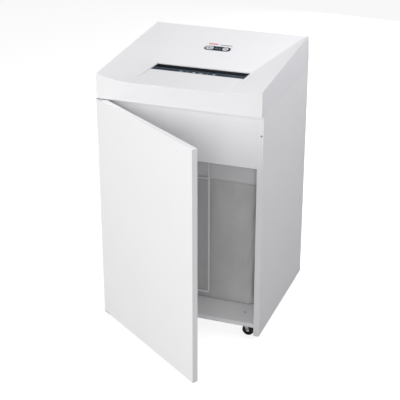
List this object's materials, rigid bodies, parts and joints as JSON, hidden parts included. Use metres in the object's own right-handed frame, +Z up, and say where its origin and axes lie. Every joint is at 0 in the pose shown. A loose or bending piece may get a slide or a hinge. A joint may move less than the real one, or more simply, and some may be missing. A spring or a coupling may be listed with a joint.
{
  "type": "paper shredder",
  "caption": "Office paper shredder: white cabinet on casters with a sloping moulded hood, feed slot, driven cutters, hinged door and waste bag.",
  "frame": {"origin": "on the ground, under the middle of the cabinet's closed footprint", "axes": "+Z up; +Y to the back of the machine, away from the door; +X to the right of someone facing the door"},
  "size_m": [0.5492, 0.8401, 0.9065],
  "materials": {
    "white_board": "satin white laminate on chipboard",
    "white_plastic": "fine satin moulding",
    "dark_plastic": "satin black",
    "slate_plastic": "satin slate",
    "navy_plastic": "gloss navy",
    "grey_button": "satin grey",
    "light_lens": "clear lens",
    "circuit_board": "solder mask",
    "frame_steel": "zinc grey",
    "bright_steel": "plated",
    "cutter_steel": "oiled hardened steel",
    "bearing_bronze": "sintered bronze",
    "motor_paint": "black paint",
    "bag_film": "cloudy polythene film",
    "white_wire": "white coated wire",
    "caster_fork": "zinc plated",
    "caster_tyre": "matt rubber"
  },
  "bodies": {
    "cabinet": {"bag_cuff": "bag_film", "bag_frame": "frame_steel", "bag_rails": "frame_steel", "cabinet_floor": "white_board", "capacitor": "bright_steel", "caster_plates": "bright_steel", "control_bezel": "navy_plastic", "control_board": "circuit_board", "door_switch": "dark_plastic", "feed_table": "white_plastic", "frame_screws": "bright_steel", "front_apron": "white_board", "front_comb": "dark_plastic", "front_unit_beam": "frame_steel", "gear_cover": "dark_plastic", "hood": "white_plastic", "inlet_guide": "slate_plastic", "inlet_throat": "dark_plastic", "left_bearing_plate": "frame_steel", "left_side_panel": "white_board", "lower_hinge": "frame_steel", "magnet_catch": "dark_plastic", "motor_housing": "motor_paint", "paper_sensor": "dark_plastic", "power_inlet": "dark_plastic", "rear_comb": "dark_plastic", "rear_panel": "white_board", "rear_unit_beam": "frame_steel", "right_bearing_plate": "frame_steel", "right_side_panel": "white_board", "shaft_bearings": "bearing_bronze", "shred_chute": "dark_plastic", "status_lights": "light_lens", "switch_frame": "dark_plastic", "tie_rods": "bright_steel", "waste_bag": "bag_film", "wire_brackets": "dark_plastic"},
    "door": {"door_panel": "white_board", "door_pivots": "bright_steel", "catch_plate": "bright_steel"},
    "start_button": {"start_button": "grey_button"},
    "reverse_button": {"reverse_button": "grey_button"},
    "front_cutter": {"front_cutter": "cutter_steel", "front_cutter_gear": "cutter_steel"},
    "rear_cutter": {"rear_cutter": "cutter_steel", "rear_cutter_gear": "cutter_steel", "drive_gear": "cutter_steel"},
    "reduction_gear": {"reduction_gear": "cutter_steel"},
    "motor_rotor": {"motor_rotor": "bright_steel"},
    "bag_full_wire": {"bag_full_wire": "white_wire"},
    "switch_plunger": {"switch_plunger": "dark_plastic"},
    "mains_rocker": {"mains_rocker": "dark_plastic"},
    "caster_fork_front_left": {"caster_fork_front_left": "caster_fork"},
    "caster_wheel_front_left": {"caster_wheel_front_left": "caster_tyre"},
    "caster_fork_front_right": {"caster_fork_front_right": "caster_fork"},
    "caster_wheel_front_right": {"caster_wheel_front_right": "caster_tyre"},
    "caster_fork_rear_left": {"caster_fork_rear_left": "caster_fork"},
    "caster_wheel_rear_left": {"caster_wheel_rear_left": "caster_tyre"},
    "caster_fork_rear_right": {"caster_fork_rear_right": "caster_fork"},
    "caster_wheel_rear_right": {"caster_wheel_rear_right": "caster_tyre"}
  },
  "joints": [
    {"name": "door_hinge", "type": "hinge", "parent": "cabinet", "child": "door", "pos_m": [-0.2675, -0.2535, 0.4], "axis": [0, 0, -1], "range_deg": [-35.6, 74.4]},
    {"name": "start_press", "type": "slide", "parent": "cabinet", "child": "start_button", "axis": [0, 0.2042, -0.9789], "range_m": [0, 0.0015], "stiffness_N_per_m": 300},
    {"name": "reverse_press", "type": "slide", "parent": "cabinet", "child": "reverse_button", "axis": [0, 0.2042, -0.9789], "range_m": [0, 0.0015], "stiffness_N_per_m": 300},
    {"name": "rear_cutter_spin", "type": "hinge", "parent": "cabinet", "child": "rear_cutter", "pos_m": [0, -0.028, 0.738], "axis": [1, 0, 0], "continuous": true},
    {"name": "front_cutter_spin", "type": "hinge", "parent": "cabinet", "child": "front_cutter", "pos_m": [0, -0.07, 0.738], "axis": [1, 0, 0], "continuous": true},
    {"name": "reduction_spin", "type": "hinge", "parent": "cabinet", "child": "reduction_gear", "pos_m": [0.2, 0.026, 0.738], "axis": [1, 0, 0], "continuous": true},
    {"name": "motor_spin", "type": "hinge", "parent": "cabinet", "child": "motor_rotor", "pos_m": [0.1, 0.082, 0.738], "axis": [1, 0, 0], "continuous": true},
    {"name": "bag_full_swing", "type": "hinge", "parent": "cabinet", "child": "bag_full_wire", "pos_m": [0, -0.1395, 0.642], "axis": [1, 0, 0], "range_deg": [-6, 0]},
    {"name": "door_switch_press", "type": "slide", "parent": "cabinet", "child": "switch_plunger", "axis": [0, 1, 0], "range_m": [0, 0.0015], "stiffness_N_per_m": 200},
    {"name": "mains_rock", "type": "hinge", "parent": "cabinet", "child": "mains_rocker", "pos_m": [0.145, 0.255, 0.7], "axis": [1, 0, 0], "range_deg": [0, 16]},
    {"name": "swivel_front_left", "type": "hinge", "parent": "cabinet", "child": "caster_fork_front_left", "pos_m": [-0.215, -0.21, 0.04], "axis": [0, 0, 1], "continuous": true},
    {"name": "roll_front_left", "type": "hinge", "parent": "caster_fork_front_left", "child": "caster_wheel_front_left", "pos_m": [-0.203, -0.21, 0.02], "axis": [0, 1, 0], "continuous": true},
    {"name": "swivel_front_right", "type": "hinge", "parent": "cabinet", "child": "caster_fork_front_right", "pos_m": [0.215, -0.21, 0.04], "axis": [0, 0, 1], "continuous": true},
    {"name": "roll_front_right", "type": "hinge", "parent": "caster_fork_front_right", "child": "caster_wheel_front_right", "pos_m": [0.227, -0.21, 0.02], "axis": [0, 1, 0], "continuous": true},
    {"name": "swivel_rear_left", "type": "hinge", "parent": "cabinet", "child": "caster_fork_rear_left", "pos_m": [-0.215, 0.205, 0.04], "axis": [0, 0, 1], "continuous": true},
    {"name": "roll_rear_left", "type": "hinge", "parent": "caster_fork_rear_left", "child": "caster_wheel_rear_left", "pos_m": [-0.203, 0.205, 0.02], "axis": [0, 1, 0], "continuous": true},
    {"name": "swivel_rear_right", "type": "hinge", "parent": "cabinet", "child": "caster_fork_rear_right", "pos_m": [0.215, 0.205, 0.04], "axis": [0, 0, 1], "continuous": true},
    {"name": "roll_rear_right", "type": "hinge", "parent": "caster_fork_rear_right", "child": "caster_wheel_rear_right", "pos_m": [0.227, 0.205, 0.02], "axis": [0, 1, 0], "continuous": true}
  ],
  "couplings": [
    {"joint": "front_cutter_spin", "follows": "rear_cutter_spin", "ratio": -1},
    {"joint": "reduction_spin", "follows": "rear_cutter_spin", "ratio": -2.8571},
    {"joint": "motor_spin", "follows": "rear_cutter_spin", "ratio": 8.5714}
  ]
}
